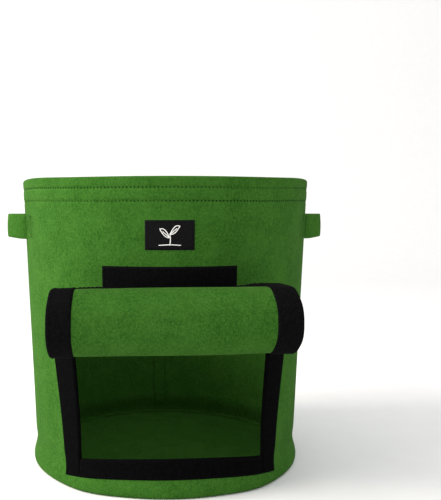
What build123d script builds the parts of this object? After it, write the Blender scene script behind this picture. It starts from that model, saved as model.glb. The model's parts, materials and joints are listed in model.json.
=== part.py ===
"""Round felt grow bag with a harvest window, its roll-up flap and two carrying handles.

Millimetres and degrees.  +Z is up, the origin is the centre of the base's underside, and the
window faces -Y.  An azimuth is measured from the window's centre (-Y) towards +X.
The flap is shown turned up into an open tube and held on the keeper tape above the window.
"""

import os
from math import cos, radians, sin, sqrt

from build123d import *

# ---- driving dimensions -------------------------------------------------------------------
HEIGHT = 335.0  # floor to rim
RIM_RADIUS = 175.0  # outer radius at the rim
PINCH_RADIUS = 158.5  # outer radius where the wall meets the rounded foot
PINCH_HEIGHT = 16.0
FOOT_RADIUS = 161.0  # widest radius of the foot
FOOT_WIDEST_HEIGHT = 8.0
FELT = 2.5  # thickness of one felt layer
TAPE = 1.2  # thickness of hook-and-loop tape
LABEL = 0.8
THREAD = 0.8  # width of a sewn line
THREAD_RISE = 0.5  # how far a sewn line stands on the surface it is sewn to

HEM_DEPTH = 30.0  # the rim is folded in and sewn twice
RIM_STITCH_DEPTHS = {"rim_stitch_upper": 11.5, "rim_stitch_lower": 25.5}
BASE_HEM = 10.0  # wall edge turned in over the base
BASE_GAP = 0.2  # between the base disc and the wall round it
BASE_STITCH_RADIUS = 152.5
LAP_WIDTH = 18.0  # overlap of the wall's two ends, inside at the back

WINDOW_BOTTOM = 38.5
WINDOW_TOP = 178.0
FRAME_BOTTOM = 16.5
WINDOW_EDGE = (37.3, 40.6)  # azimuth of the window's side at FRAME_BOTTOM and at WINDOW_TOP
FRAME_EDGE = (45.2, 53.2)  # azimuth of the frame's outer edge at those two heights

KEEPER_BOTTOM = 192.0
KEEPER_TOP = 242.0
KEEPER_WIDTH = 145.0
UPPER_AZIMUTH = -1.2  # the keeper tape and the label sit a little left of the window's middle

LABEL_WIDTH = 50.0
LABEL_HEIGHT = 30.0
LABEL_CENTRE = 274.5
LABEL_STITCH_INSET = 2.2
STITCH_INSET = 3.0  # from a piece's edge to the line that sews it down

FLAP_WIDTH = 248.0
FLAP_SEAM_BOTTOM = 179.0  # the flap's top margin, sewn flat on the wall
FLAP_SEAM_TOP = 191.0
TUBE_CENTRE = 190.5  # height of the turned-up flap's middle
TUBE_CORNER = 25.0  # length of a slanted strip of the tube
TUBE_SHELF = 16.0  # length of its level top and bottom strips
TUBE_FRONT = 28.6  # length of its upright front strip
TUBE_CLEARANCE = 0.4  # between the flap's free edge and the keeper tape
STRIP_GAP = 0.8  # half the gap between two strips at their hinge line
FLAP_SIDE_TAPE = 25.0

HANDLE_BOTTOM = 266.0
HANDLE_WIDTH = 30.0
HANDLE_REACH = 20.0  # from the wall to the strap's outer face
HANDLE_END_OUTER = 63.0  # azimuth where the sewn end starts
HANDLE_END_INNER = 75.0  # azimuth where it stops and the loop starts
HANDLE_FLAT = 22.0  # half the length of the loop's straight outer run
HANDLE_BEND = 12.0  # outer radius of the loop's two corners
HANDLE_GAP = 0.6  # between the loop and the wall
HANDLE_TURN = 0.6  # degrees between a sewn end and the loop
HANDLE_LEAN = 0.45  # how far the loop's root narrows per millimetre of its thickness

# ---- derived sizes --------------------------------------------------------------------------
TAPER = (RIM_RADIUS - PINCH_RADIUS) / (HEIGHT - PINCH_HEIGHT)
BASE_RADIUS = PINCH_RADIUS - BASE_GAP
HANDLE_TOP = HANDLE_BOTTOM + HANDLE_WIDTH
WHOLE_TURN = 360.0
SPARE = 5.0  # degrees that a skin reaches past the edge it is cut to
FRONT_TURN = -90.0  # azimuth 0 is a quarter turn before +X


def radius(z):
    """Outer radius of the tapered wall at height z."""
    return PINCH_RADIUS + TAPER * (z - PINCH_HEIGHT)


def degrees_of(arc, z):
    """The angle that an arc of that length covers on the wall at height z."""
    return arc / radius(z) / radians(1)


def revolved(profile, start=0.0, sweep=WHOLE_TURN):
    """A solid of revolution about Z from a face drawn in (radius, height)."""
    face = Plane.XZ * profile
    return Rot(0, 0, start + FRONT_TURN) * revolve(face, Axis.Z, sweep)


def wrap(low, high, left, right, inner=0.0, outer=FELT):
    """A skin on the tapered wall between two heights, two azimuths and two offsets from it."""
    corners = [
        (radius(low) + inner, low),
        (radius(low) + outer, low),
        (radius(high) + outer, high),
        (radius(high) + inner, high),
    ]
    return revolved(make_face(Polyline(corners, close=True)), left, right - left)


def wedge(low, high, left, right):
    """A block through the wall whose sides slant: left and right are azimuths at low and high."""
    reach_in, reach_out = 40.0, 150.0  # how far the block goes inside and outside the wall

    def corner(pair, level, z, reach):
        middle = radians(sum(pair) / 2)
        edge = radians(pair[level])
        x = radius(z) * sin(edge) + reach * sin(middle)
        y = -radius(z) * cos(edge) - reach * cos(middle)
        return (x, y, z)

    faces = []
    for level, z in enumerate((low, high)):
        ring = [
            corner(left, level, z, -reach_in),
            corner(left, level, z, reach_out),
            corner(right, level, z, reach_out),
            corner(right, level, z, -reach_in),
        ]
        faces.append(make_face(Polyline(ring, close=True)))
    return loft(faces, ruled=True)


def mirrored(shape):
    """The shape's twin on the other side of the window's middle plane."""
    return mirror(shape, Plane.YZ)


def group(*shapes):
    """Several separate solids as one sub-part."""
    return Compound([solid for shape in shapes for solid in shape.solids()])


def edge_at(edge, z):
    """Azimuth at height z of an edge that slants from edge[0] at FRAME_BOTTOM to edge[1]."""
    share = (z - FRAME_BOTTOM) / (WINDOW_TOP - FRAME_BOTTOM)
    return edge[0] + share * (edge[1] - edge[0])


def window_wedge():
    """Everything between the window's two slanted sides."""
    return wedge(FRAME_BOTTOM, WINDOW_TOP, [-edge for edge in WINDOW_EDGE], WINDOW_EDGE)


# ---- bag --------------------------------------------------------------------------------------
def wall_panel():
    """The felt wall: hem folded in at the rim, lap seam at the back, edge turned in at the base."""
    hem = HEIGHT - HEM_DEPTH
    foot_bottom = PINCH_RADIUS + FELT
    foot = [
        (PINCH_RADIUS, PINCH_HEIGHT),
        (FOOT_RADIUS, FOOT_WIDEST_HEIGHT),
        (foot_bottom, 0),
    ]
    directions = [(-TAPER, -1), (-0.2, -1)]
    outer_foot = Spline(foot, tangents=directions)
    inner_foot = Spline([(r - FELT, z) for r, z in foot[:2]] + [(foot_bottom - FELT, 2 * FELT)],
                        tangents=directions)
    turned_in = PINCH_RADIUS - BASE_HEM
    inside = [
        (PINCH_RADIUS - FELT, PINCH_HEIGHT),
        (radius(hem) - FELT, hem),
        (radius(hem) - 2 * FELT, hem),
        (RIM_RADIUS - 2 * FELT, HEIGHT),
        (RIM_RADIUS, HEIGHT),
        (PINCH_RADIUS, PINCH_HEIGHT),
    ]
    bottom = [
        (foot_bottom, 0),
        (PINCH_RADIUS, 0),
        (PINCH_RADIUS, FELT),
        (turned_in, FELT),
        (turned_in, 2 * FELT),
        (PINCH_RADIUS, 2 * FELT),
    ]
    profile = make_face([outer_foot, Polyline(bottom), inner_foot, Polyline(inside)])
    shell = revolved(profile)
    rim = [edge for edge in shell.edges() if abs(edge.center().Z - HEIGHT) < 0.01]
    shell = fillet(rim, FELT * 0.8)
    half_lap = degrees_of(LAP_WIDTH, HEIGHT / 2) / 2
    lap = wrap(PINCH_HEIGHT, hem, 180 - half_lap, 180 + half_lap, -2 * FELT, -FELT / 2)
    reach = WINDOW_EDGE[1] + SPARE
    opening = wrap(WINDOW_BOTTOM, WINDOW_TOP, -reach, reach, -2 * FELT, FELT) & window_wedge()
    return shell + lap - opening


def base_disc():
    """The round felt base, under the wall's turned-in edge."""
    return Cylinder(BASE_RADIUS, FELT, align=(Align.CENTER, Align.CENTER, Align.MIN))


def window_side_tape():
    """The right-hand tape of the window frame, wider towards its top."""
    skin = wrap(FRAME_BOTTOM, WINDOW_TOP, WINDOW_EDGE[0] - SPARE, FRAME_EDGE[1] + SPARE, 0, TAPE)
    return skin & wedge(FRAME_BOTTOM, WINDOW_TOP, WINDOW_EDGE, FRAME_EDGE)


def window_bottom_tape():
    """The frame's bottom tape, cut to end at the side tapes."""
    reach = WINDOW_EDGE[1] + SPARE
    return wrap(FRAME_BOTTOM, WINDOW_BOTTOM, -reach, reach, 0, TAPE) & window_wedge()


def keeper_tape():
    """The tape above the window that holds the turned-up flap."""
    half = degrees_of(KEEPER_WIDTH, KEEPER_TOP) / 2
    left, right = UPPER_AZIMUTH - half, UPPER_AZIMUTH + half
    return wrap(KEEPER_BOTTOM, KEEPER_TOP, left, right, 0, TAPE)


def label_patch():
    """The woven label on the wall."""
    half = degrees_of(LABEL_WIDTH, LABEL_CENTRE) / 2
    low = LABEL_CENTRE - LABEL_HEIGHT / 2
    return wrap(low, low + LABEL_HEIGHT, UPPER_AZIMUTH - half, UPPER_AZIMUTH + half, 0, LABEL)


# ---- sewn lines ---------------------------------------------------------------------------
def level_line(z, left, right, base=0.0):
    """A sewn line along the wall at one height, on a surface that far off the wall."""
    return wrap(z - THREAD / 2, z + THREAD / 2, left, right, base, base + THREAD_RISE)


def upright_line(low, high, azimuth, base=0.0):
    """A sewn line up the wall at one azimuth."""
    half = degrees_of(THREAD, low) / 2
    return wrap(low, high, azimuth - half, azimuth + half, base, base + THREAD_RISE)


def sewn_box(low, high, left, right, base):
    """A closed sewn rectangle on a piece that far off the wall."""
    lines = level_line(low, left, right, base) + level_line(high, left, right, base)
    return lines + upright_line(low, high, left, base) + upright_line(low, high, right, base)


def slanted_line(low, high, edge, inset, base):
    """A sewn line beside a slanted edge, inset degrees from it, on a piece that far off the wall."""
    half = degrees_of(THREAD, low) / 2
    middle = [edge_at(edge, z) + inset for z in (low, high)]
    skin = wrap(low, high, middle[0] - SPARE, middle[1] + SPARE, base, base + THREAD_RISE)
    return skin & wedge(low, high, [a - half for a in middle], [a + half for a in middle])


def base_seam_stitch():
    """The sewn ring that joins the wall's turned-in edge to the base, inside the bag."""
    ring = BASE_STITCH_RADIUS
    floor = 2 * FELT
    corners = [(ring, floor), (ring + THREAD, floor), (ring + THREAD, floor + THREAD_RISE),
               (ring, floor + THREAD_RISE)]
    return revolved(make_face(Polyline(corners, close=True)))


def back_seam_stitch():
    """The lap seam's two upright lines, on the outside at the back."""
    spread = degrees_of(LAP_WIDTH / 2 - STITCH_INSET, HEIGHT / 2)
    low, high = PINCH_HEIGHT + STITCH_INSET, HEIGHT - HEM_DEPTH - STITCH_INSET
    return group(*(upright_line(low, high, 180 + side * spread) for side in (-1, 1)))


def window_tape_stitch():
    """The lines that hold the frame's tapes, near their inner and outer edges."""
    inset = degrees_of(STITCH_INSET, FRAME_BOTTOM)
    low, high = FRAME_BOTTOM + STITCH_INSET, WINDOW_TOP - STITCH_INSET
    lines = [
        slanted_line(low, high, FRAME_EDGE, -inset, TAPE),
        slanted_line(low, high, WINDOW_EDGE, inset, TAPE),
    ]
    lines += [mirrored(line) for line in lines]
    reach = WINDOW_EDGE[0] - inset
    for z in (low, WINDOW_BOTTOM - STITCH_INSET):
        lines.append(level_line(z, -reach, reach, TAPE))
    return group(*lines)


def keeper_stitch():
    half = degrees_of(KEEPER_WIDTH / 2 - STITCH_INSET, KEEPER_TOP)
    low, high = KEEPER_BOTTOM + STITCH_INSET, KEEPER_TOP - STITCH_INSET
    return sewn_box(low, high, UPPER_AZIMUTH - half, UPPER_AZIMUTH + half, TAPE)


def label_stitch():
    half = degrees_of(LABEL_WIDTH / 2 - LABEL_STITCH_INSET, LABEL_CENTRE)
    reach = LABEL_HEIGHT / 2 - LABEL_STITCH_INSET
    left, right = UPPER_AZIMUTH - half, UPPER_AZIMUTH + half
    return sewn_box(LABEL_CENTRE - reach, LABEL_CENTRE + reach, left, right, LABEL)


# ---- handles --------------------------------------------------------------------------------
def handle_ends():
    """The right handle's two sewn ends, flat on the wall."""
    return [
        wrap(HANDLE_BOTTOM, HANDLE_TOP, HANDLE_END_OUTER, HANDLE_END_INNER),
        wrap(HANDLE_BOTTOM, HANDLE_TOP, 180 - HANDLE_END_INNER, 180 - HANDLE_END_OUTER),
    ]


def handle_stitch():
    """A sewn rectangle on each end of the right handle."""
    inset = degrees_of(STITCH_INSET, HANDLE_TOP)
    left, right = HANDLE_END_OUTER + inset, HANDLE_END_INNER - inset
    low, high = HANDLE_BOTTOM + STITCH_INSET, HANDLE_TOP - STITCH_INSET
    return [
        sewn_box(low, high, left, right, FELT),
        sewn_box(low, high, 180 - right, 180 - left, FELT),
    ]


def handle_loop():
    """The right handle between its sewn ends: a level felt strap that stands off the wall."""
    wall = radius(HANDLE_TOP)
    root = radians(HANDLE_END_INNER + HANDLE_TURN)
    root_x = (wall + HANDLE_GAP) * sin(root) + FELT / 2
    root_y = (wall + HANDLE_GAP) * cos(root)

    def face_line(depth):
        """The strap's outer face, or a line that deep inside it, with rounded corners."""
        x = wall + HANDLE_REACH - depth
        flat = HANDLE_FLAT - depth / 2
        foot_x = root_x + FELT - depth
        foot_y = root_y + depth * HANDLE_LEAN
        points = [(foot_x, -foot_y), (x, -flat), (x, flat), (foot_x, foot_y)]
        return FilletPolyline(*points, radius=HANDLE_BEND - depth)

    outside, inside = face_line(0.0), face_line(FELT)
    caps = [Line(outside @ end, inside @ end) for end in (0, 1)]
    face = make_face([outside, inside, *caps])
    return Pos(0, 0, HANDLE_BOTTOM) * extrude(face, HANDLE_WIDTH)


# ---- flap -----------------------------------------------------------------------------------
def tube_corners():
    """(outward, height) of the hinge lines of the turned-up flap, from its seam to its free edge."""
    slant = TUBE_CORNER / sqrt(2)
    low = TUBE_CENTRE - TUBE_FRONT / 2
    steps = [
        (slant, -slant),
        (TUBE_SHELF, 0),
        (slant, slant),
        (0, TUBE_FRONT),
        (-slant, slant),
        (-TUBE_SHELF, 0),
        (-slant, -slant),
    ]
    points = [(0.0, low)]
    for out, up in steps:
        points.append((points[-1][0] + out, points[-1][1] + up))
    return points


TUBE_BACK = radius(TUBE_CENTRE + TUBE_FRONT) + 2 * TAPE + TUBE_CLEARANCE + FELT / 2


def strip(start, end, depths, width, centre=0.0):
    """A flat strip between two hinge lines, from depths[0] to depths[1] towards the tube's outside."""
    out, up = end[0] - start[0], end[1] - start[1]
    length = sqrt(out * out + up * up)
    along = Vector(0, -out / length, up / length)
    outside = Vector(1, 0, 0).cross(along)
    corner = Vector(centre - width / 2, -TUBE_BACK - start[0], start[1])
    plane = Plane(corner + along * STRIP_GAP + outside * depths[0], x_dir=(1, 0, 0), z_dir=outside)
    section = plane * Rectangle(width, length - 2 * STRIP_GAP, align=(Align.MIN, Align.MIN))
    return extrude(section, depths[1] - depths[0], dir=outside)


def flap_strips():
    """The turned-up flap's felt strips and their side tapes, from the seam to the free edge."""
    corners = tube_corners()
    made = {}
    half = FELT / 2
    tape_centre = (FLAP_WIDTH - FLAP_SIDE_TAPE) / 2
    for number, (start, end) in enumerate(zip(corners, corners[1:]), 1):
        made[f"flap_strip_{number}"] = strip(start, end, (-half, half), FLAP_WIDTH)
        bands = [strip(start, end, (half, half + TAPE), FLAP_SIDE_TAPE, side * tape_centre)
                 for side in (-1, 1)]
        made[f"flap_side_tapes_{number}"] = group(*bands)
    width = FLAP_WIDTH - 2 * FLAP_SIDE_TAPE
    made["flap_bottom_tape"] = strip(corners[-2], corners[-1], (half, half + TAPE), width)
    return made


def flap_sewn_edge():
    """The flap's top margin, sewn flat on the wall above the window."""
    half = degrees_of(FLAP_WIDTH, FLAP_SEAM_TOP) / 2
    return wrap(FLAP_SEAM_BOTTOM, FLAP_SEAM_TOP, -half, half)


def flap_seam_stitch():
    half = degrees_of(FLAP_WIDTH / 2 - STITCH_INSET, FLAP_SEAM_TOP)
    return level_line((FLAP_SEAM_BOTTOM + FLAP_SEAM_TOP) / 2, -half, half, FELT)


# ---- assembly -------------------------------------------------------------------------------
def build():
    side_tape = window_side_tape()
    loop = handle_loop()
    parts = {
        "wall_panel": wall_panel(),
        "base_disc": base_disc(),
        "window_tape_right": side_tape,
        "window_tape_left": mirrored(side_tape),
        "window_tape_bottom": window_bottom_tape(),
        "keeper_tape": keeper_tape(),
        "label_patch": label_patch(),
        "flap_sewn_edge": flap_sewn_edge(),
        "right_handle_loop": loop,
        "left_handle_loop": mirrored(loop),
        "right_handle_ends": group(*handle_ends()),
        "left_handle_ends": group(*map(mirrored, handle_ends())),
        "right_handle_stitch": group(*handle_stitch()),
        "left_handle_stitch": group(*map(mirrored, handle_stitch())),
        "base_seam_stitch": base_seam_stitch(),
        "back_seam_stitch": back_seam_stitch(),
        "window_tape_stitch": window_tape_stitch(),
        "keeper_stitch": keeper_stitch(),
        "label_stitch": label_stitch(),
        "flap_seam_stitch": flap_seam_stitch(),
    }
    for name, depth in RIM_STITCH_DEPTHS.items():
        parts[name] = level_line(HEIGHT - depth, 0, WHOLE_TURN)
    parts.update(flap_strips())
    return parts


os.makedirs("parts", exist_ok=True)
for node, shape in build().items():
    export_step(shape, f"parts/{node}.step")
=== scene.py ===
"""Round felt grow bag: its looks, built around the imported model.  Metres, +Z up, window to -Y."""

import json
from math import atan2, cos, hypot, pi, radians, sin, tau

import bpy
import numpy as np
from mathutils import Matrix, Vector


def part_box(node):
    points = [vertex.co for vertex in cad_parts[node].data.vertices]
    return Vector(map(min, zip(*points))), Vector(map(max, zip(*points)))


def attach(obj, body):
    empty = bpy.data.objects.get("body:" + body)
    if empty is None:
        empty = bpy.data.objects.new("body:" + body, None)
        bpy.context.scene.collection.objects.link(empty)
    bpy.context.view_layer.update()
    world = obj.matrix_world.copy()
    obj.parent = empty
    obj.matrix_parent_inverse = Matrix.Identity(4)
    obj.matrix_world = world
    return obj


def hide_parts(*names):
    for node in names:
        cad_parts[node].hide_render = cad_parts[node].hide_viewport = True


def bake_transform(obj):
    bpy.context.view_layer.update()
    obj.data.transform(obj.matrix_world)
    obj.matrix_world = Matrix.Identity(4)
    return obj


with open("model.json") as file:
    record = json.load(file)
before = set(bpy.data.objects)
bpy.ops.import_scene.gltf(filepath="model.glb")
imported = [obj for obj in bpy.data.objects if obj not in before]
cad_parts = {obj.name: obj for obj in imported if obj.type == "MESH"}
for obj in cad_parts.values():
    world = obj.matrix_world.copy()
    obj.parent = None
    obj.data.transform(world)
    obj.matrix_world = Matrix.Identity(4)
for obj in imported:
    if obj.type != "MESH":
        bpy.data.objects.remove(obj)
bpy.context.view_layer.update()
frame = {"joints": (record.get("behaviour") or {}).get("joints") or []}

MM = 0.001

# ---- sizes from the frame ----
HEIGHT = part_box("wall_panel")[1].z
BASE_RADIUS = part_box("base_disc")[1].x
BASE_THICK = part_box("base_disc")[1].z
FRAME_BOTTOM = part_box("window_tape_bottom")[0].z
WINDOW_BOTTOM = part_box("window_tape_bottom")[1].z
WINDOW_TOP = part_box("window_tape_right")[1].z
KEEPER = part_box("keeper_tape")
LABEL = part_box("label_patch")
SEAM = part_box("flap_sewn_edge")
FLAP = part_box("flap_strip_1")
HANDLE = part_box("right_handle_loop")
HINGES = [np.array(j["pos_m"]) for j in frame["joints"] if j["child"].startswith("flap")]
HANDLE_HINGE = next(j["pos_m"] for j in frame["joints"] if j["child"] == "right_handle")

# ---- sizes that the frame does not hold ----
RIM_RADIUS = 0.175
FELT = 2.5 * MM  # thickness
TAPE = 1.3 * MM
FOOT_ROUND = 3.6 * MM  # radius of the turn from the wall to the floor
RIM_ROUND = 2.6 * MM  # height of the turn over the rim
FOOT_TOP = 16 * MM
HEM_DEPTH = 30 * MM
STITCH_DEPTHS = (11.5 * MM, 25.5 * MM)  # the hem's two sewn rows, below the rim
WINDOW_EDGE = (radians(37.3), radians(40.6))  # at FRAME_BOTTOM and at WINDOW_TOP
FRAME_EDGE = (radians(45.2), radians(53.2))
KEEPER_WIDTH = 145 * MM
LABEL_WIDTH = 50 * MM
SIDE_TAPE_WIDTH = 30 * MM
BOTTOM_TAPE_WIDTH = 208 * MM
LABEL_THICK = 0.8 * MM
FLAP_SIDE_TAPE = 25 * MM
SELVAGE = 2.0 * MM  # flat woven edge of a tape
SEAM_INSET = 3 * MM  # from a sewn piece's edge to its stitches
FRAME_SEAM_INSET = 2.5 * MM
FLAP_SEAM_INSET = 2.6 * MM
LABEL_SEAM_INSET = 2.2 * MM
UNDER = 0.1 * MM  # how far a sewn-on piece reaches into the felt below it
EDGE_ROUND = 1.2 * MM  # how far from its cut edge felt gets thinner
TUBE_SET_BACK = (3 * MM, 6 * MM)  # how far the turned-up flap's left and right ends lie back
STRAIGHT = 0.16  # share of the tube's outline that runs straight between its bends
TUBE_FLARE = (0.09, 0.20)  # how far its front leads its back at those ends, per depth
END_PULL = (1.3 * MM, 6.6 * MM)  # how far its left and right ends are drawn in
END_LOW = (0.5 * MM, 0.9 * MM)  # its lower side's fall at the left end and rise at the right end
END_HIGH = 1.6 * MM  # its upper side's fall at both ends
UNEVEN = 0.35 * MM  # how far its felt waves in and out
PITCH = 4.1 * MM  # from one stitch to the next
LAP = 18 * MM
STITCH_SHARE = 0.72  # share of the pitch that a stitch covers
THREAD = 0.42 * MM  # radius of the sewing thread
LIP = 0.3 * MM  # how far the window's tapes stand past the felt's cut edge and its inner side
WINDOW_SPANS = 60  # how many spans of the wall's mesh the window is wide


def smooth(low, high, x):
    """0 below low, 1 above high, and an even turn between."""
    t = np.clip((x - low) / (high - low), 0, 1)
    return t * t * (3 - 2 * t)


def bell(x, centre, spread):
    """1 at the centre, falling evenly to 0 on both sides."""
    return np.exp(-(((x - centre) / spread) ** 2))


def spaced(length, step, edge):
    """Positions from 0 to length, closer together near both ends."""
    near = np.array([0.0, 0.25, 0.6, 1.0]) * edge
    count = max(2, int(round((length - 2 * edge) / step)) + 1)
    middle = np.linspace(edge, length - edge, count)[1:-1]
    return np.concatenate([near, middle, length - near[::-1]])


def felt_edge(near):
    """The share of its thickness that felt has at that distance from its cut edge."""
    return 0.4 + 0.6 * smooth(0, EDGE_ROUND, near)


# ---- the felt wall's surface ----
FOOT_SWELL = (3.5 * MM, 5.5 * MM, 10 * MM)  # size, height, spread
PINCH = (0.9 * MM, 27 * MM, 8 * MM)
FRONT_SWELL = (1.8 * MM, 50 * MM)  # size, and the height where it ends
SIDE_SWELL = (1.4 * MM, 0.95, 0.35, 30 * MM)  # size, azimuth, spread, and the height where it ends
CORNER_SWELL = (4.4 * MM, radians(34), radians(13), 75 * MM)
RIM_SWELL = 1.1 * MM  # at the left
WAVE = 0.9 * MM
# The wall's waves: share of WAVE, how many round the bag, start, and turn with height.
WAVES = ((0.5, 3, 1.1, 9), (0.35, 5, 4.0, -14), (0.25, 8, 2.2, 21), (0.35, 2, 0.4, 0))
RIM_RISE = (1.7 * MM, 1.1, 0.35)  # size, azimuth, spread
RIM_TILT = 0.3 * MM
FRAME_DROP = (3.1 * MM, 7.5 * MM)  # of the frame's lower edge: rise at its middle, fall to its side
FRAME_DROP_CHANGE = (0.8 * MM, 1.1 * MM)  # how much these two differ at its upper edge
GROOVE = (0.85 * MM, 1.8 * MM)  # depth and half width of the felt along a sewn row
HEM_PROUD = 0.35 * MM
CORNER_DRAW = radians(1.2)  # how far the window frame's lower corners are drawn in


def wall_radius(azimuth, z):
    """Outer radius of the wall: a taper, a pinch above the foot, and the soft waves of felt."""
    share = (z - FOOT_TOP) / (HEIGHT - FOOT_TOP)
    side = np.abs(azimuth)
    radius = BASE_RADIUS + (RIM_RADIUS - BASE_RADIUS) * share
    radius = radius + FOOT_SWELL[0] * bell(z, *FOOT_SWELL[1:]) - PINCH[0] * bell(z, *PINCH[1:])
    radius = radius + FRONT_SWELL[0] * np.cos(azimuth) ** 2 * (1 - smooth(0, FRONT_SWELL[1], z))
    for size, middle, spread, top in (SIDE_SWELL, CORNER_SWELL):
        radius = radius + size * bell(side, middle, spread) * (1 - smooth(0, top, z))
    radius = radius + RIM_SWELL * share**2 * np.maximum(-np.sin(azimuth), 0) ** 3
    wave = sum(size * np.sin(turns * azimuth + start + rate * z)
               for size, turns, start, rate in WAVES)
    return radius + WAVE * wave * (0.5 + 0.5 * share) * smooth(0, 30 * MM, z)


def frame_drop(azimuth, z):
    """The window frame is sewn on a little lower at its sides than in its middle."""
    low = smooth(0, FRAME_BOTTOM, z) * (1 - smooth(WINDOW_BOTTOM, WINDOW_BOTTOM + 60 * MM, z))
    share = np.clip((z - FRAME_BOTTOM) / (WINDOW_BOTTOM - FRAME_BOTTOM), 0, 1)
    edge = FRAME_EDGE[0] + share * (WINDOW_EDGE[0] - FRAME_EDGE[0])
    side = np.minimum(np.abs(azimuth) / edge, 1.15)
    near = 1 - smooth(radians(48), radians(86), np.abs(azimuth))
    rise = FRAME_DROP[0] - FRAME_DROP_CHANGE[0] * share
    fall = FRAME_DROP[1] + FRAME_DROP_CHANGE[1] * share
    return (rise - fall * side**2) * near * low


def hem_relief(z):
    """The felt is drawn in along the hem's two sewn rows and stands a little proud between them."""
    rows = [HEIGHT - depth for depth in STITCH_DEPTHS]
    grooves = sum(bell(z, row, GROOVE[1]) for row in rows)
    return HEM_PROUD * smooth(rows[1] - 5 * MM, rows[1], z) - GROOVE[0] * grooves


def on_wall(azimuth, z, out=0.0, inset=0.0):
    """Points on the felt wall, or that far off it, as an array with x, y, z last."""
    azimuth, z = np.broadcast_arrays(np.asarray(azimuth, float), np.asarray(z, float))
    azimuth = (azimuth + pi) % tau - pi
    height = z + frame_drop(azimuth, z)
    rim = smooth(HEIGHT - 90 * MM, HEIGHT, z)
    rise = RIM_RISE[0] * bell(np.abs(azimuth), *RIM_RISE[1:])
    height = height + rim * (rise + RIM_TILT * np.sin(azimuth))
    radius = wall_radius(azimuth, height) + hem_relief(z) + out - inset
    return np.stack([radius * np.sin(azimuth), -radius * np.cos(azimuth), height], axis=-1)


def edge_at(edge, z):
    """Azimuth at height z of an edge that slants from edge[0] at FRAME_BOTTOM to edge[1]."""
    share = np.clip((z - FRAME_BOTTOM) / (WINDOW_TOP - FRAME_BOTTOM), 0, 1)
    return edge[0] + share * (edge[1] - edge[0])


def frame_edge(z):
    """The frame's outer edge, whose lower corners are drawn in."""
    return edge_at(FRAME_EDGE, z) - CORNER_DRAW * (1 - smooth(6 * MM, 42 * MM, z))


# ---- meshes ----
def make_piece(name, points, faces, materials, second=()):
    """A mesh object with smooth faces and sharp folds; second lists its second material's faces."""
    mesh = bpy.data.meshes.new(name)
    mesh.from_pydata([tuple(p) for p in points], [], faces)
    for material in materials:
        mesh.materials.append(material)
    mesh.polygons.foreach_set("use_smooth", [True] * len(mesh.polygons))
    if len(second):
        index = np.zeros(len(mesh.polygons), np.int32)
        index[list(second)] = 1
        mesh.polygons.foreach_set("material_index", index)
    mesh.set_sharp_from_angle(angle=radians(48))
    mesh.validate()
    piece = bpy.data.objects.new(name, mesh)
    bpy.context.scene.collection.objects.link(piece)
    return piece


def sheet_parts(over, under):
    """Points and faces of a closed thin piece between two equal grids of points."""
    rows, columns = over.shape[:2]
    points = np.concatenate([over.reshape(-1, 3), under.reshape(-1, 3)])
    shift = rows * columns
    faces = []
    for i in range(rows - 1):
        for j in range(columns - 1):
            a = i * columns + j
            quad = (a, a + 1, a + columns + 1, a + columns)
            faces.append(quad)
            faces.append(tuple(shift + k for k in reversed(quad)))
    rim = list(range(columns))
    rim += [i * columns + columns - 1 for i in range(1, rows)]
    rim += [(rows - 1) * columns + j for j in range(columns - 2, -1, -1)]
    rim += [i * columns for i in range(rows - 2, 0, -1)]
    for a, b in zip(rim, rim[1:] + rim[:1]):
        faces.append((b, a, shift + a, shift + b))
    return points, faces


def ring_quad(i, k, rings, sides):
    """The face from point k of ring i to the next point and the next ring; both close up."""
    after, beyond = (k + 1) % sides, (i + 1) % rings
    return i * sides + k, i * sides + after, beyond * sides + after, beyond * sides + k


def ring_faces(rings, sides):
    """Faces between rings of points that follow one another, each closed on itself."""
    return [ring_quad(i, k, rings, sides) for i in range(rings - 1) for k in range(sides)]


def joined(parts):
    """Points and faces of several parts as one, and where each part's faces start."""
    points, faces, starts, shift = [], [], [], 0
    for part_points, part_faces in parts:
        starts.append(len(faces))
        faces += [tuple(shift + k for k in face) for face in part_faces]
        points.append(part_points)
        shift += len(part_points)
    return np.concatenate(points), faces, starts


def stitch_parts(line, normals, pitch=PITCH, thread=THREAD):
    """Single stitches along a line of points: each thread rises out of the felt and dives back."""
    line, normals = np.asarray(line, float), np.asarray(normals, float)
    steps = np.linalg.norm(np.diff(line, axis=0), axis=1)
    along = np.concatenate([[0], np.cumsum(steps)])
    count = max(1, int(round(along[-1] / pitch)))
    starts = (np.arange(count) + (1 - STITCH_SHARE) / 2) * along[-1] / count
    rings, sides = 7, 8
    parts = []
    for start in starts:
        at = start + np.linspace(0, STITCH_SHARE, rings) * along[-1] / count
        centre = np.stack([np.interp(at, along, line[:, k]) for k in range(3)], axis=1)
        normal = np.stack([np.interp(at, along, normals[:, k]) for k in range(3)], axis=1)
        run = np.gradient(centre, axis=0)
        side = np.cross(normal, run)
        side /= np.linalg.norm(side, axis=1)[:, None]
        bow = np.sin(np.linspace(0, pi, rings))[:, None]
        width = thread * (0.45 + 0.55 * bow**0.5)
        middle = centre + normal * thread * (1.5 * bow - 1.15)
        ring = []
        for k in range(sides):
            turn = tau * k / sides
            ring.append(middle + width * (side * cos(turn) + normal * sin(turn)))
        ring = np.stack(ring, axis=1)
        faces = ring_faces(rings, sides)
        faces.append(tuple(reversed(range(sides))))
        faces.append(tuple((rings - 1) * sides + k for k in range(sides)))
        parts.append((ring.reshape(-1, 3), faces))
    return joined(parts)[:2]


def wall_lengths(azimuths, heights):
    """The corners of a line on the wall as arrays, with how far along the line each one is."""
    azimuths, heights = np.asarray(azimuths, float), np.asarray(heights, float)
    reach = np.hypot(np.diff(azimuths) * RIM_RADIUS, np.diff(heights))
    return azimuths, heights, np.concatenate([[0], np.cumsum(reach)])


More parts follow.
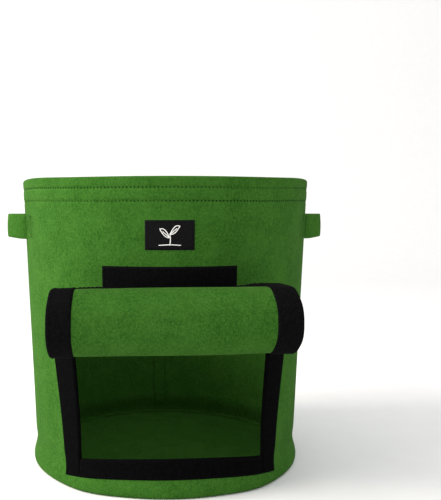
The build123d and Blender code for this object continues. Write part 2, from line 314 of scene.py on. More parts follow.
def wall_stitches(azimuths, heights, out, **kind):
    """Stitches along a line on the wall, given by its corner azimuths and heights."""
    azimuths, heights, along = wall_lengths(azimuths, heights)
    at = np.linspace(0, along[-1], max(2, int(along[-1] / (1 * MM))))
    azimuth, z = np.interp(at, along, azimuths), np.interp(at, along, heights)
    normal = np.stack([np.sin(azimuth), -np.cos(azimuth), 0 * azimuth], axis=1)
    return stitch_parts(on_wall(azimuth, z, out), normal, **kind)


# ---- materials ----
class Nodes:
    """A material's node tree, with short calls for what these materials need."""

    def __init__(self, name):
        self.material = bpy.data.materials.new(name)
        self.material.use_nodes = True
        self.tree = self.material.node_tree
        self.shader = self.tree.nodes["Principled BSDF"]
        self.place = self.node("ShaderNodeTexCoord").outputs["Object"]

    def node(self, kind, inputs=None, **settings):
        made = self.tree.nodes.new(kind)
        for key, value in settings.items():
            setattr(made, key, value)
        for key, value in (inputs or {}).items():
            self.feed(made.inputs[key], value)
        return made

    def feed(self, socket, value):
        if isinstance(value, bpy.types.NodeSocket):
            self.tree.links.new(value, socket)
        else:
            socket.default_value = value

    def noise(self, scale, detail=2.0, rough=0.5, place=None, distortion=0.0):
        inputs = {"Vector": place or self.place, "Scale": scale, "Detail": detail,
                  "Roughness": rough, "Distortion": distortion}
        return self.node("ShaderNodeTexNoise", inputs).outputs["Fac"]

    def stretch(self, scale, turn=(0.0, 0.0, 0.0)):
        inputs = {"Vector": self.place, "Scale": scale, "Rotation": turn}
        return self.node("ShaderNodeMapping", inputs).outputs["Vector"]

    def range(self, value, low, high, to_low=0.0, to_high=1.0):
        inputs = {"Value": value, "From Min": low, "From Max": high,
                  "To Min": to_low, "To Max": to_high}
        return self.node("ShaderNodeMapRange", inputs).outputs["Result"]

    def math(self, operation, a, b=0.0):
        return self.node("ShaderNodeMath", {0: a, 1: b}, operation=operation).outputs[0]

    def mix(self, share, a, b):
        made = self.node("ShaderNodeMix", data_type="RGBA")
        self.feed(made.inputs["Factor"], share)
        self.feed(made.inputs["A"], a)
        self.feed(made.inputs["B"], b)
        return made.outputs["Result"]

    def finish(self, tone, height, distance, strength, **settings):
        self.feed(self.shader.inputs["Base Color"], tone)
        inputs = {"Height": height, "Distance": distance, "Strength": strength}
        bump = self.node("ShaderNodeBump", inputs)
        self.feed(self.shader.inputs["Normal"], bump.outputs["Normal"])
        for key, value in settings.items():
            self.feed(self.shader.inputs[key.replace("_", " ")], value)
        return self.material


def colour(*values, shade=1.0):
    """A linear colour from its three display values, 0 to 255, darkened by its shade."""
    def linear(value):
        value /= 255
        return value / 12.92 if value <= 0.04045 else ((value + 0.055) / 1.055) ** 2.4
    return (*(shade * linear(value) for value in values), 1.0)


def felt(name, shade):
    """Needle-punched felt: matted fibres in several greens, faint cloudy patches and a soft nap."""
    n = Nodes(name)
    tones = ((52, 100, 32), (36, 79, 22), (84, 134, 54))
    base, dark, light = (colour(*tone, shade=shade) for tone in tones)
    clouds = n.noise(38, 3, 0.6)
    clumps = n.noise(420, 3, 0.65)
    fibres_a = n.noise(1000, 4, 0.7, n.stretch((1.0, 1.0, 0.28), (0.3, 0.5, 0.9)), 1.5)
    fibres_b = n.noise(1100, 4, 0.7, n.stretch((1.0, 0.3, 1.0), (0.9, 0.2, 0.4)), 1.5)
    fibres = n.math("MULTIPLY", n.math("ADD", fibres_a, fibres_b), 0.5)
    tone = n.mix(n.range(clumps, 0.34, 0.62), dark, base)
    tone = n.mix(n.range(fibres, 0.5, 0.66, 0.0, 0.85), tone, light)
    tone = n.mix(n.range(fibres, 0.5, 0.34, 0.0, 0.6), tone, dark)
    tone = n.mix(n.range(clouds, 0.4, 0.62, 0.0, 0.14), tone, light)
    height = n.math("ADD", n.math("MULTIPLY", fibres, 0.7), n.math("MULTIPLY", clumps, 0.5))
    rough = n.range(fibres, 0.3, 0.7, 0.98, 0.86)
    return n.finish(tone, height, 0.6 * MM, 0.8, Roughness=rough, Sheen_Weight=0.018,
                    Sheen_Roughness=0.5, Sheen_Tint=(1.0, 0.85, 0.6, 1.0),
                    Specular_IOR_Level=0.02)


def loop_tape(name, shade=1.0):
    """Black hook-and-loop tape: a pile of fine loops on a woven ground."""
    n = Nodes(name)
    inputs = {"Vector": n.place, "Scale": 950.0, "Randomness": 0.9}
    loops = n.node("ShaderNodeTexVoronoi", inputs).outputs["Distance"]
    brushed = n.noise(420, 4, 0.7, n.stretch((1.0, 1.0, 0.45)))
    tones = ((16, 16, 17), (6, 6, 7), (20, 20, 22))
    pile, ground, tips = (colour(*tone, shade=shade) for tone in tones)
    tone = n.mix(n.range(loops, 0.1, 0.75), pile, ground)
    tone = n.mix(n.range(brushed, 0.5, 0.72, 0.0, 0.6), tone, tips)
    height = n.math("ADD", n.math("MULTIPLY", loops, -0.6), n.math("MULTIPLY", brushed, 0.6))
    return n.finish(tone, height, 0.6 * MM, 0.8, Roughness=0.85, Sheen_Weight=0.003,
                    Sheen_Roughness=0.4, Specular_IOR_Level=0.012)


def satin_label(name):
    """A woven label: fine ribs of black satin."""
    n = Nodes(name)
    inputs = {"Vector": n.place, "Scale": 420.0, "Distortion": 0.4, "Detail": 1.0}
    ribs = n.node("ShaderNodeTexWave", inputs, bands_direction="Z").outputs["Fac"]
    threads = n.noise(1300, 2, 0.5, n.stretch((0.3, 1.0, 1.0)))
    tone = n.mix(n.range(threads, 0.4, 0.65), colour(7, 7, 8), colour(18, 18, 19))
    height = n.math("ADD", ribs, n.math("MULTIPLY", threads, 0.6))
    return n.finish(tone, height, 0.12 * MM, 0.7, Roughness=0.5, Sheen_Weight=0.01,
                    Specular_IOR_Level=0.05)


def thread(name, tone, dark):
    """Twisted sewing thread."""
    n = Nodes(name)
    inputs = {"Vector": n.stretch((1.0, 1.0, 1.0), (0.6, 0.6, 0.6)), "Scale": 900.0}
    twist = n.node("ShaderNodeTexWave", inputs, bands_direction="DIAGONAL").outputs["Fac"]
    return n.finish(n.mix(twist, dark, tone), twist, 0.15 * MM, 0.8, Roughness=0.7,
                    Sheen_Weight=0.01, Specular_IOR_Level=0.02)


def floor_paint(name):
    """A matt pale floor with a faint unevenness."""
    n = Nodes(name)
    grain = n.noise(30, 3, 0.6)
    tone = n.mix(grain, (0.77, 0.77, 0.77, 1.0), (0.81, 0.81, 0.81, 1.0))
    return n.finish(tone, grain, 0.2 * MM, 0.1, Roughness=0.75, Specular_IOR_Level=0.2)


FELT_WALL = felt("felt_wall", 0.84)
# The flap's felt is a darker copy of the wall's felt: painted shade.
FELT_FLAP_SHADED = felt("felt_flap", 0.76)
FELT_HANDLE = felt("felt_handle", 0.84)
FELT_INSIDE = felt("felt_inside", 0.82)
TAPE_BLACK = loop_tape("hook_and_loop_tape")
# The window frame's tapes are a darker copy of the same black tape: painted shade.
TAPE_FRAME_SHADED = loop_tape("frame_tape", 0.65)
LABEL_BLACK = satin_label("label_satin")
LABEL_WHITE = thread("label_white", colour(246, 246, 243), colour(226, 226, 222))
THREAD_GREEN = thread("thread_green", colour(58, 104, 38), colour(40, 80, 26))
THREAD_BLACK = thread("thread_black", colour(12, 12, 13), colour(4, 4, 5))
# Dark green painted shade for the needle holes, made with the thread material.
NEEDLE_HOLE_SHADE = thread("needle_hole", colour(19, 44, 13), colour(12, 30, 8))


# ---- camera ----
CAMERA_DISTANCE = 0.90  # from the bag's axis
CAMERA_HEIGHT = 0.298
CAMERA_TURN = radians(3.1)
LENS = 51.4
LENS_SHIFT = (0.111, -0.076)


def make_camera():
    """Level with the rim's lower edge, turned a little to the left of the window's middle."""
    data = bpy.data.cameras.new("camera")
    data.lens = LENS
    data.shift_x, data.shift_y = LENS_SHIFT
    camera = bpy.data.objects.new("camera", data)
    away = (-CAMERA_DISTANCE * sin(CAMERA_TURN), -CAMERA_DISTANCE * cos(CAMERA_TURN))
    camera.location = (*away, CAMERA_HEIGHT)
    camera.rotation_euler = (pi / 2, 0, -CAMERA_TURN)
    bpy.context.scene.collection.objects.link(camera)
    bpy.context.scene.camera = camera


# ---- bag ----
def wall_rows():
    """Heights of the wall's rows above its rounded foot, closer together at the hem."""
    hem = HEIGHT - HEM_DEPTH
    runs = [
        np.linspace(FOOT_ROUND, FRAME_BOTTOM, 5),
        np.linspace(FRAME_BOTTOM, WINDOW_BOTTOM, 9),
        np.linspace(WINDOW_BOTTOM, WINDOW_TOP, 34),
        np.linspace(WINDOW_TOP, hem - 4 * MM, 32),
        np.linspace(hem - 4 * MM, HEIGHT - RIM_ROUND, 34),
    ]
    return np.concatenate([run[1:] if k else run for k, run in enumerate(runs)])


def wall_columns(z):
    """Azimuths of the wall's columns at height z, with one on each side of the window."""
    edge = edge_at(WINDOW_EDGE, z)
    front = np.linspace(-edge, edge, WINDOW_SPANS + 1)
    back = np.linspace(edge, tau - edge, 229)
    return np.concatenate([front, back[1:-1]])


def wall_profile():
    """Rings of points round the felt's section: foot, outside, rim fold, hem, inside, base hem."""
    rows = wall_rows()
    hem = HEIGHT - HEM_DEPTH
    rings = []
    for turn in np.linspace(pi / 2, 0, 9)[:-1]:
        z = FOOT_ROUND * (1 - sin(turn))
        rings.append(on_wall(wall_columns(z), z, inset=FOOT_ROUND * (1 - cos(turn))))
    first_outside = len(rings)
    rings += [on_wall(wall_columns(z), z) for z in rows]
    top = rows[-1]
    for turn in np.linspace(0, pi, 9)[1:-1]:
        fold = on_wall(wall_columns(top), top, -FELT + FELT * cos(turn))
        fold[:, 2] += RIM_ROUND * sin(turn)
        rings.append(fold)
    first_inside = len(rings)
    for z in rows[::-1]:
        doubled = smooth(hem - 0.6 * MM, hem + 0.6 * MM, z)
        rings.append(on_wall(wall_columns(z), z, -FELT * (1 + doubled)))
    for turn in np.linspace(0, pi / 2, 6)[1:]:
        z = FOOT_ROUND - (FOOT_ROUND - 2 * FELT) * sin(turn)
        rings.append(on_wall(wall_columns(z), z, -FELT, (FOOT_ROUND - FELT) * (1 - cos(turn))))
    end = rings[-1].copy()
    columns = wall_columns(0.0)
    inward = np.stack([np.sin(columns), -np.cos(columns), 0 * columns], axis=1)
    rings.append(end - inward * 4 * MM)
    rings.append(end - inward * 4.2 * MM - np.array([0, 0, FELT]))
    rings.append(end - np.array([0, 0, FELT]))
    return rings, first_outside, first_inside, len(rows)


def build_wall():
    """The felt shell, with its window cut out and the felt's thickness shown round the cut."""
    rings, outside, inside, count = wall_profile()
    rows = wall_rows()
    points = np.stack(rings)
    total, wide = points.shape[:2]
    low = int(np.argmin(np.abs(rows - WINDOW_BOTTOM)))
    high = int(np.argmin(np.abs(rows - WINDOW_TOP)))
    cut_out = range(outside + low, outside + high)
    cut_in = range(inside + count - 1 - high, inside + count - 1 - low)
    window_columns = range(WINDOW_SPANS)
    faces = []
    for i in range(total):
        for j in range(wide):
            if j in window_columns and (i in cut_out or i in cut_in):
                continue
            faces.append(ring_quad(i, j, total, wide))

    def pair(row, column):
        return (outside + row) * wide + column, (inside + count - 1 - row) * wide + column

    for row, flip in ((low, False), (high, True)):
        for column in window_columns:
            (a, b), (c, d) = pair(row, column), pair(row, column + 1)
            faces.append((b, a, c, d) if flip else (a, b, d, c))
    for column, flip in ((0, True), (WINDOW_SPANS, False)):
        for row in range(low, high):
            (a, b), (c, d) = pair(row, column), pair(row + 1, column)
            faces.append((b, a, c, d) if flip else (a, b, d, c))
    wall = make_piece("felt_wall", points.reshape(-1, 3), faces, [FELT_WALL])
    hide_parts("wall_panel")
    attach(wall, "bag")


def wall_slab(azimuths, heights, out, under=UNDER):
    """Points and faces of a thin piece on the wall; out gives how far each point stands off."""
    azimuth, z = np.broadcast_arrays(azimuths, heights)
    return sheet_parts(on_wall(azimuth, z, out), on_wall(azimuth, z, -under))


def pile_rise(shape, across, along, even=False):
    """How far the tape stands off: flat selvages at its edges and an uneven pile between them."""
    rough = 0.0 if even else np.random.default_rng(7).normal(0, 0.08 * MM, shape)
    inner = smooth(0, 1, np.minimum(across, along) / SELVAGE)
    edge = 0.45 * TAPE * (1 - (1 - np.clip(np.minimum(across, along) / (0.5 * MM), 0, 1)) ** 2)
    return edge + (0.55 * TAPE + rough) * inner


def build_tape(name, edges, low, high, width, rows, columns, lip=None, material=TAPE_BLACK):
    """Hook-and-loop tape on the wall; lip says where it turns in over the felt's cut edge."""
    u, v = np.meshgrid(np.linspace(0, 1, columns), np.linspace(0, 1, rows))
    z = low + (high - low) * v
    left, right = edges(z)
    azimuth = left + (right - left) * u
    across = np.minimum(u, 1 - u) * width
    along = np.minimum(v, 1 - v) * (high - low)
    rise = pile_rise(u.shape, across, along)
    under = UNDER + (0.0 if lip is None else (FELT + LIP) * lip(azimuth, z))
    tape = make_piece(name, *wall_slab(azimuth, z, rise, under), [material])
    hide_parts(name)
    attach(tape, "bag")


def build_window_frame():
    """The window's three tapes, which also bind the cut edge of the felt."""
    for name, side in (("window_tape_right", 1), ("window_tape_left", -1)):
        def edges(z, side=side):
            above = smooth(WINDOW_BOTTOM - 3 * MM, WINDOW_BOTTOM - 1 * MM, z)
            inner = edge_at(WINDOW_EDGE, z) - LIP / BASE_RADIUS * above
            return (inner, frame_edge(z)) if side > 0 else (-frame_edge(z), -inner)

        def lip(azimuth, z):
            return (np.abs(azimuth) < edge_at(WINDOW_EDGE, z) - 1e-4) & (z > WINDOW_BOTTOM)
        build_tape(name, edges, FRAME_BOTTOM, WINDOW_TOP, SIDE_TAPE_WIDTH, rows=130, columns=60,
                   lip=lip, material=TAPE_FRAME_SHADED)

    def bottom(z):
        return -edge_at(WINDOW_EDGE, z), edge_at(WINDOW_EDGE, z)

    def bottom_lip(azimuth, z):
        return z > WINDOW_BOTTOM + 1e-5
    build_tape("window_tape_bottom", bottom, FRAME_BOTTOM, WINDOW_BOTTOM + LIP,
               BOTTOM_TAPE_WIDTH, rows=60, columns=170, lip=bottom_lip, material=TAPE_FRAME_SHADED)


def edges_of(box, z):
    """Left and right azimuths of a node that lies on the front of the wall, from its box."""
    radius = BASE_RADIUS + (RIM_RADIUS - BASE_RADIUS) * (z - FOOT_TOP) / (HEIGHT - FOOT_TOP)
    return tuple(float(np.arcsin(corner.x / radius)) for corner in box)


def build_keeper():
    """The tape above the window that holds the turned-up flap, sewn all round."""
    left, right = edges_of(KEEPER, KEEPER[1].z)

    def edges(z):
        return left + 0 * z, right + 0 * z
    build_tape("keeper_tape", edges, KEEPER[0].z, KEEPER[1].z, KEEPER_WIDTH, rows=46, columns=120)
    inset, low, high = SEAM_INSET / RIM_RADIUS, KEEPER[0].z + SEAM_INSET, KEEPER[1].z - SEAM_INSET
    corners = [left + inset, right - inset, right - inset, left + inset, left + inset]
    add_stitches("keeper_stitch", [(corners, [low, low, high, high, low])], TAPE, "black")


# ---- sewn lines on the wall ----
def add_stitches(name, lines, out, kind, holes=False, **size):
    """One piece of single stitches along lines on the wall, with dark dishes of painted shade at
    its needle holes if they show.
    """
    tone = {"green": THREAD_GREEN, "black": THREAD_BLACK}[kind]
    parts = [wall_stitches(*line, out=out, **size) for line in lines]
    pits = [wall_holes(*line, out=out) for line in lines] if holes else []
    points, faces, starts = joined(parts + pits)
    second = range(starts[len(parts)], len(faces)) if holes else ()
    piece = make_piece(name, points, faces, [tone, NEEDLE_HOLE_SHADE], second)
    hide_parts(name)
    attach(piece, "bag")


# A needle hole's rings, from its rim to its middle: radius, and how far it stands off the felt.
HOLE = ((1.15 * MM, -0.12 * MM), (0.85 * MM, 0.12 * MM), (0.0, 0.05 * MM))


def wall_holes(azimuths, heights, out):
    """Small round dishes where the needle went through, between the stitches; their dark colour is
    painted shade.
    """
    azimuths, heights, along = wall_lengths(azimuths, heights)
    count = max(1, int(round(along[-1] / PITCH)))
    at = np.arange(count) * along[-1] / count
    parts = []
    sides = 8
    turn = np.arange(sides) * tau / sides
    for azimuth, z in zip(np.interp(at, along, azimuths), np.interp(at, along, heights)):
        rings = []
        for size, lift in HOLE:
            ring = on_wall(azimuth + size * np.cos(turn) / RIM_RADIUS, z + size * np.sin(turn),
                           out + lift)
            rings.append(ring)
        parts.append((np.concatenate(rings), ring_faces(len(rings), sides)))
    return joined(parts)[:2]


def build_wall_stitches():
    """The hem's two rows, the back seam's two rows and the window tapes' rows."""
    ring = np.linspace(-pi, pi, 9)
    for name, depth in zip(("rim_stitch_upper", "rim_stitch_lower"), STITCH_DEPTHS):
        add_stitches(name, [(ring, 0 * ring + HEIGHT - depth)], 0.0, "green", holes=True)
    spread = (LAP / 2 - SEAM_INSET) / RIM_RADIUS
    low, high = FOOT_TOP + 2 * MM, HEIGHT - HEM_DEPTH - 1 * MM
    lines = [([pi + side * spread] * 2, [low, high]) for side in (-1, 1)]
    add_stitches("back_seam_stitch", lines, 0.0, "green", holes=True)
    inset = FRAME_SEAM_INSET / BASE_RADIUS
    low, high = FRAME_BOTTOM + SEAM_INSET, WINDOW_TOP - SEAM_INSET
    lines = []
    for side in (-1, 1):
        outer = [side * (frame_edge(z) - inset) for z in (low, high)]
        lines.append((outer, [low, high]))
        inner = [side * (edge_at(WINDOW_EDGE, z) + inset) for z in (WINDOW_BOTTOM, high)]
        lines.append((inner, [WINDOW_BOTTOM, high]))
    reach = WINDOW_EDGE[0] - inset
    for z in (FRAME_BOTTOM + FRAME_SEAM_INSET, WINDOW_BOTTOM - FRAME_SEAM_INSET):
        azimuth = np.linspace(-reach, reach, 40)
        lines.append((azimuth, 0 * azimuth + z))
    add_stitches("window_tape_stitch", lines, TAPE, "black")


def build_base():
    """The round felt base, with its sewn ring on the wall's turned-in edge."""
    radius = BASE_RADIUS - FOOT_ROUND + 0.3 * MM
    count = 96
    turn = np.arange(count) * tau / count
    rings = []
    section = [(1.0, 0.3), (1.0, 1.0)] + [(r, 1.0) for r in (0.93, 0.8, 0.6, 0.4, 0.2, 0.02)]
    under = [(r, 0.0) for r in (0.02, 0.3, 0.6, 0.9, 0.992)]
    for share, height in section + under:
        wave = 0.5 * MM * height * (1 - share) * np.sin(2 * turn + 5 * share)
        r = radius * share
        rings.append(np.stack([r * np.cos(turn), r * np.sin(turn),
                               BASE_THICK * height + wave], axis=1))
    middle = len(section) - 1
    faces = [tuple(middle * count + k for k in range(count)),
             tuple((middle + 1) * count + k for k in reversed(range(count)))]
    for i in range(len(rings)):
        if i != middle:
            faces += [ring_quad(i, k, len(rings), count) for k in range(count)]
    base = make_piece("felt_base", np.concatenate(rings), faces, [FELT_INSIDE])
    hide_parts("base_disc")
    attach(base, "bag")
    ring = BASE_RADIUS - 6 * MM - FOOT_ROUND * 0.5
    at = np.linspace(0, tau, 600)
    line = np.stack([ring * np.sin(at), -ring * np.cos(at), 0 * at + 2 * FELT], axis=1)
    up = np.tile([0.0, 0.0, 1.0], (len(at), 1))
    piece = make_piece("base_seam_stitch", *stitch_parts(line, up, pitch=5 * MM), [THREAD_GREEN])
    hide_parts("base_seam_stitch")
    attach(piece, "bag")


def build_lap():
    """The wall's inner end, lying on its outer end inside the back of the bag."""
    low, high = FOOT_TOP, HEIGHT - HEM_DEPTH - 1 * MM
    half = LAP / 2 / RIM_RADIUS
    u, v = np.meshgrid(spaced(2 * half, 0.01, 0.006), spaced(high - low, 8 * MM, 1 * MM))
    azimuth, z = pi - half + u, low + v
    near = np.minimum(np.minimum(u, 2 * half - u) * RIM_RADIUS, np.minimum(v, high - low - v))
    thick = FELT * felt_edge(near)
    under = on_wall(azimuth, z, -FELT + 0.2 * MM)
    over = on_wall(azimuth, z, -FELT - thick)
    lap = make_piece("felt_wall_lap", *sheet_parts(under, over), [FELT_WALL])
    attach(lap, "bag")


# ---- label ----
MARK_SCALE = 1.22
STROKE_WIDTH = 1.0  # in millimetres, as the strokes' points
STROKE_RISE = 0.35 * MM


def label_strokes():
    """A sprout over a line of ground: strokes as points in the label's plane, in millimetres."""
    t = np.linspace(0, 1, 14)
    strokes = []
    for side in (-1, 1):
        tip_x, tip_y = 8.6 * side, 6.4 + 1.2 * side
        root_y = -0.8 + 1.4 * side
        for bulge in (2.9, -2.2):
            x = tip_x * t
            y = root_y + (tip_y - root_y) * t + bulge * np.sin(pi * t)
            strokes.append(np.stack([x, y], axis=1))
        vein = np.stack([tip_x * t * 0.72, root_y + (tip_y - root_y) * t * 0.72], axis=1)
        strokes.append(vein)
    stem = np.stack([0.5 * np.sin(3 * t), -8.6 + 9.6 * t], axis=1)
    ground = np.stack([-9.5 + 19 * t, -8.6 + 0.5 * np.sin(pi * t)], axis=1)
    return strokes + [stem, ground]


def stroke_parts(stroke, centre):
    """A raised satin-stitched band along a stroke on the label."""
    run = np.gradient(stroke, axis=0)
    run /= np.linalg.norm(run, axis=1)[:, None]
    side = np.stack([-run[:, 1], run[:, 0]], axis=1)
    rows = []
    for turn in np.linspace(0, pi, 6):
        place = (MARK_SCALE * stroke + side * STROKE_WIDTH / 2 * cos(turn)) * MM
        lift = LABEL_THICK + STROKE_RISE * sin(turn) - UNDER
        rows.append(on_wall(centre[0] + place[:, 0] / RIM_RADIUS, centre[1] + place[:, 1], lift))
    over = np.stack(rows)
    under = np.stack([rows[0] + (rows[-1] - rows[0]) * k / 5 for k in range(6)])
    return sheet_parts(over, under)


def build_label():
    """The woven label with its mark, sewn all round."""
    left, right = edges_of(LABEL, (LABEL[0].z + LABEL[1].z) / 2)
    left, right = left - 1.3 * MM / RIM_RADIUS, right - 0.2 * MM / RIM_RADIUS
    low, high = LABEL[0].z - 0.6 * MM, LABEL[1].z + 0.3 * MM
    centre = ((left + right) / 2, (low + high) / 2)
    u, v = np.meshgrid(np.linspace(0, 1, 40), np.linspace(0, 1, 26))
    across = np.minimum(u, 1 - u) * LABEL_WIDTH
    along = np.minimum(v, 1 - v) * (high - low)
    near = np.minimum(across, along)
    rise = LABEL_THICK * smooth(0, 0.5 * MM, near)
    rise = rise - 0.15 * MM * bell(near, LABEL_SEAM_INSET, 0.9 * MM)
    parts = [wall_slab(left + (right - left) * u, low + v * (high - low), rise)]
    parts += [stroke_parts(stroke, centre) for stroke in label_strokes()]
    points, faces, starts = joined(parts)
    label = make_piece("label", points, faces, [LABEL_BLACK, LABEL_WHITE],
                       range(starts[1], len(faces)))
    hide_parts("label_patch")
    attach(label, "bag")
    inset = LABEL_SEAM_INSET / RIM_RADIUS
    a, b = left + inset, right - inset
    c, d = low + LABEL_SEAM_INSET, high - LABEL_SEAM_INSET
    add_stitches("label_stitch", [([a, b, b, a, a], [c, c, d, d, c])], 0.7 * MM, "black",
                 pitch=2.6 * MM, thread=0.3 * MM)


# ---- handles ----
def spline_through(corners, steps):
    """A quadratic B-spline with those control points, from the first to the last."""
    corners = np.asarray(corners, float)
    mids = (corners[:-1] + corners[1:]) / 2
    path = [corners[0]]
    for k in range(1, len(corners) - 1):
        start = corners[0] if k == 1 else mids[k - 1]
        end = corners[-1] if k == len(corners) - 2 else mids[k]
        for t in np.linspace(0, 1, steps + 1)[1:]:
            path.append((1 - t) ** 2 * start + 2 * t * (1 - t) * corners[k] + t * t * end)
    return np.array(path)


WALL_AZIMUTHS = (63.1, 66, 69, 72.5, 75)  # of the strap's sewn front end, in degrees
STITCH_BOXES = (69.0, 111.0)  # azimuths of the crossed boxes that hold the strap's ends
STITCH_BOX_REACH = 4.7


def handle_path():
    """Half of the right-hand strap's middle line in plan: the sewn front end, then the loop."""
    radius = float(HANDLE_HINGE[0]) + 0.9 * MM
    wall = [(radius * sin(radians(a)), -radius * cos(radians(a))) for a in WALL_AZIMUTHS]
    outer = HANDLE[1].x - FELT / 2
    loop = [(0.1722, -0.0424), (outer - 1.2 * MM, -0.0268), (outer, -0.0135), (outer, 0.0)]
    front = spline_through(wall + loop, 8)
    return np.concatenate([front, front[-2::-1] * [1, -1]])


def build_handle(side):
    """One felt strap from its sewn front end round the loop to its sewn rear end."""
    name = "right_handle" if side > 0 else "left_handle"
    path = handle_path()
    run = np.gradient(path, axis=0)
    run /= np.linalg.norm(run, axis=1)[:, None]
    outward = np.stack([run[:, 1], -run[:, 0]], axis=1)
    away = np.concatenate([[0], np.cumsum(np.linalg.norm(np.diff(path, axis=0), axis=1))])
    near_end = np.minimum(away, away[-1] - away)
    low, high = HANDLE[0].z, HANDLE[1].z
    heights = spaced(high - low, 3 * MM, EDGE_ROUND)
    free = smooth(HANDLE_HINGE[0], HANDLE[1].x, path[:, 0])
    grids = []
    for face in (1, -1):
        rows = []
        for h in heights:
            edge = min(h, high - low - h)
            half = FELT / 2 * felt_edge(np.minimum(near_end, edge))
            dent = 0.5 * MM * bell(near_end, 3.6 * MM, 1.3 * MM) * smooth(0, 3 * MM, edge)
            place = path + outward * (face * half - max(face, 0) * dent)[:, None]
            lift = 2.0 * MM * free * (1 - h / (high - low))
            bow = 0.7 * MM * free * cos(pi * (h / (high - low) - 0.5))
            rows.append(np.stack([side * (place[:, 0] + bow), place[:, 1], low + h + lift], axis=1))
        grids.append(np.stack(rows))
    over, under = grids if side < 0 else grids[::-1]
    strap = make_piece(f"{name}_strap", *sheet_parts(over, under), [FELT_HANDLE])
    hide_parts(f"{name}_loop", f"{name}_ends")
    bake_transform(strap)
    lines = []
    box_low, box_high = low + SEAM_INSET, high - SEAM_INSET
    for middle in STITCH_BOXES:
        a, b = (side * radians(middle + reach) for reach in (-STITCH_BOX_REACH, STITCH_BOX_REACH))
        lines.append(([a, b, b, a, a], [box_low, box_low, box_high, box_high, box_low]))
        lines.append(([a, b], [box_low, box_high]))
        lines.append(([a, b], [box_high, box_low]))
    add_stitches(f"{name}_stitch", lines, FELT - 0.2 * MM, "green", pitch=3 * MM)


# ---- flap ----
FLAP_HALF = FLAP[1].x
HINGE = [h[1:] for h in HINGES]
FREE_END = HINGE[0] + np.array([0.0, HINGE[4][1] - HINGE[3][1]])
SEAM_HALF = float(np.arcsin(SEAM[1].x / (-SEAM[0].y - FELT)))
SEAM_LEAVES = SEAM[0].z + 3 * MM
TUBE_MIDDLE = (HINGE[0][0] + HINGE[3][0]) / 2
FREE = 7.5  # s at the flap's free end; it is k at the middle of strip k, and -1 to 0 on the seam
# How the turned-up corners spring off the wall: side, angle, and from where to where across.
SPRING = ((1, radians(34), 0.062, 0.070), (1, radians(11), 0.070, 0.100),
          (-1, radians(36), 0.066, 0.076))


def by_side(pair, x):
    """The first of the pair on the left, the second on the right."""
    return np.where(x > 0, pair[1], pair[0])


def flap_tube(s, x):
    """Places on the turned-up flap's middle surface; s is along it, and x is across."""
    corners = np.array(HINGE)
    spring = sum(angle * smooth(start, stop, side * x) for side, angle, start, stop in SPRING)
    last = FREE_END - corners[6]
    end = np.stack([
        corners[6][0] + last[0] * np.cos(spring) - last[1] * np.sin(spring),
        corners[6][1] + last[0] * np.sin(spring) + last[1] * np.cos(spring),
    ], axis=-1)
    control = [np.broadcast_to(c, end.shape) for c in corners] + [end]
    piece = np.clip(np.floor(s), 1, 6).astype(int)
    t = (s - piece)[..., None]
    before, at, after = (np.choose((piece + k)[..., None], control) for k in (-1, 0, 1))
    start, stop = (before + at) / 2, (at + after) / 2
    turn_in, turn_out = start + STRAIGHT * (at - start), stop + STRAIGHT * (at - stop)
    u = np.clip((t - STRAIGHT / 2) / (1 - STRAIGHT), 0, 1)
    place = (1 - u) ** 2 * turn_in + 2 * u * (1 - u) * at + u * u * turn_out
    place = place + np.minimum(t - STRAIGHT / 2, 0) * (at - before)
    place = place + np.maximum(t - 1 + STRAIGHT / 2, 0) * (after - at)
    share = np.abs(x) / FLAP_HALF
    back = by_side(TUBE_SET_BACK, x) * share**2.2
    flare = by_side(TUBE_FLARE, x) * share**1.2 * np.sign(x)
    y = place[..., 0] + back + UNEVEN * np.sin(38 * x + 1.3 * s) * (1 - share**4)
    up = np.clip((place[..., 1] - corners[1][1]) / (corners[5][1] - corners[1][1]), 0, 1)
    low_end = END_LOW[1] * smooth(0.015, 0.115, x) - END_LOW[0] * smooth(0.03, 0.12, -x)
    high_end = 0.005 * x - END_HIGH * share**2
    z = place[..., 1] + low_end + (high_end - low_end) * up
    pull = END_PULL[0] * smooth(0.098, 0.124, -x) - END_PULL[1] * smooth(0, 0.11, x)
    return np.stack([x + pull + flare * (TUBE_MIDDLE - place[..., 0]), y, z], axis=-1)


def flap_root(s, x):
    """From the seam on the wall (s from -1 to 0) out to the tube's first strip (s = 1)."""
    across = x / FLAP_HALF
    seam_z = SEAM_LEAVES + np.clip(-s, 0, 1) * (SEAM[1].z - SEAM_LEAVES)
    seam = on_wall(across * SEAM_HALF, seam_z, FELT / 2)
    start = on_wall(across * SEAM_HALF, SEAM_LEAVES + 0 * x, FELT / 2)
    end = flap_tube(np.ones_like(x), x)
    out = np.stack([np.sin(across * SEAM_HALF), -np.cos(across * SEAM_HALF), 0 * x], axis=-1)
    span = np.linalg.norm(end - start, axis=-1)[..., None]
    down = np.array([0.0, 0.0, -1.0])
    along = np.array([0.0, *(HINGE[1] - HINGE[0])])
    along /= np.linalg.norm(along)
    first = start + 0.3 * span * (0.93 * down + 0.37 * out)
    second = end - 0.36 * span * along
    t = np.clip(s, 0, 1)[..., None]
    curve = (1 - t) ** 3 * start + 3 * t * (1 - t) ** 2 * first
    curve = curve + 3 * t * t * (1 - t) * second + t**3 * end
    return np.where(s[..., None] < 0, seam, curve)


def flap_at(s, x):
    """Places on the whole flap's middle surface."""
    s, x = np.broadcast_arrays(np.asarray(s, float), np.asarray(x, float))
    root, tube = flap_root(np.minimum(s, 1), x), flap_tube(np.maximum(s, 1), x)
    return np.where(s[..., None] < 1, root, tube)


def flap_normal(s, x):
    """Unit normals of the flap, towards the tube's outside, where its tapes are."""
    step, reach = 0.01, 0.5 * MM
    s, x = np.broadcast_arrays(np.asarray(s, float), np.asarray(x, float))
    along = flap_at(np.minimum(s + step, FREE), x) - flap_at(np.maximum(s - step, -1), x)
    across = flap_at(s, x + reach) - flap_at(s, x - reach)
    normal = np.cross(across, along)
    return normal / np.linalg.norm(normal, axis=-1)[..., None]


